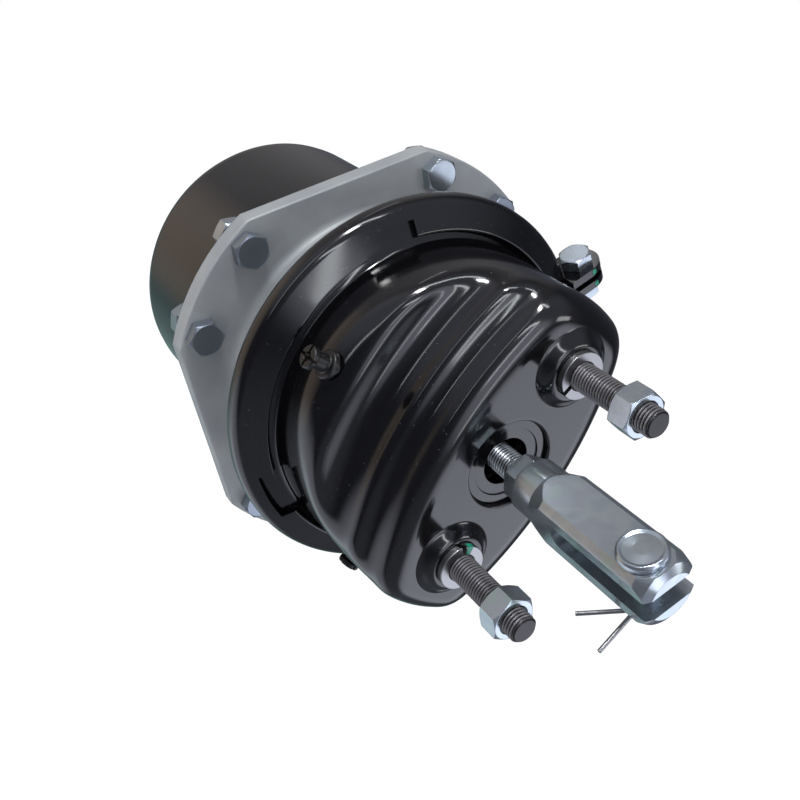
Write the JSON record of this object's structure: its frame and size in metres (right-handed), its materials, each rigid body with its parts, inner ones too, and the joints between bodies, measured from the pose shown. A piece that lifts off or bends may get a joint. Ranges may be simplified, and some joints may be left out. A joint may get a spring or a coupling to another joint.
{
  "type": "air brake chamber",
  "caption": "Combined service and parking air brake chamber: pressed mounting housing with studs, clamp ring, cast middle flange, rear spring cylinder, and a pushrod with clevis and pin.",
  "frame": {"origin": "middle of the mounting face, halfway between the two studs and on the pushrod's axis", "axes": "+X out of the mounting face along the pushrod, towards the clevis; +Z along the line of the two studs; +Y completes a right-handed set"},
  "size_m": [0.4455, 0.265, 0.265],
  "materials": {
    "black_paint": "glossy black paint",
    "dark_steel": "dark phosphate",
    "zinc_plate": "bright zinc plate",
    "bright_steel": "ground steel",
    "cast_aluminium": "matt as cast",
    "rubber": "matt",
    "guide_plastic": "matt"
  },
  "bodies": {
    "housing": {"front_housing": "black_paint", "guide_plate": "black_paint", "mounting_studs": "dark_steel", "stud_lock_washers": "zinc_plate", "stud_nuts": "zinc_plate", "breather_plugs": "rubber", "clamp_band": "black_paint", "clamp_bolt": "zinc_plate", "clamp_nut": "zinc_plate", "middle_flange": "cast_aluminium", "flange_oring": "rubber", "flange_bolts": "zinc_plate", "flange_nuts": "zinc_plate", "rear_cylinder": "black_paint", "rear_breather": "rubber", "release_nut": "black_paint", "release_washer": "zinc_plate", "rod_seal": "rubber", "rod_bush": "guide_plastic", "diaphragm": "rubber", "return_spring": "dark_steel", "power_spring": "dark_steel"},
    "pushrod": {"push_plate": "zinc_plate", "pushrod": "zinc_plate", "lock_nut": "zinc_plate", "clevis": "zinc_plate"},
    "clevis_pin": {"clevis_pin": "zinc_plate", "cotter_pin": "bright_steel"},
    "piston": {"piston": "cast_aluminium", "piston_seal": "rubber", "piston_guide_ring": "guide_plastic", "piston_rod": "bright_steel", "rod_cap": "guide_plastic"},
    "release_bolt": {"release_bolt": "zinc_plate"}
  },
  "joints": [
    {"name": "pushrod_slide", "type": "slide", "parent": "housing", "child": "pushrod", "axis": [1, 0, 0], "range_m": [0, 0.06], "stiffness_N_per_m": 1500, "springref_m": -0.06, "deforming": ["return_spring", "diaphragm"]},
    {"name": "piston_slide", "type": "slide", "parent": "housing", "child": "piston", "axis": [1, 0, 0], "range_m": [0, 0.06], "deforming": ["power_spring"]},
    {"name": "clevis_pin_turn", "type": "hinge", "parent": "pushrod", "child": "clevis_pin", "pos_m": [0.096, 0, 0], "axis": [0, -0.7986, 0.6018], "continuous": true},
    {"name": "release_bolt_turn", "type": "hinge", "parent": "housing", "child": "release_bolt", "pos_m": [-0.32, 0, 0], "axis": [1, 0, 0], "continuous": true}
  ],
  "couplings": [
    {"joint": "piston_slide", "follows": "pushrod_slide", "ratio": 1}
  ]
}
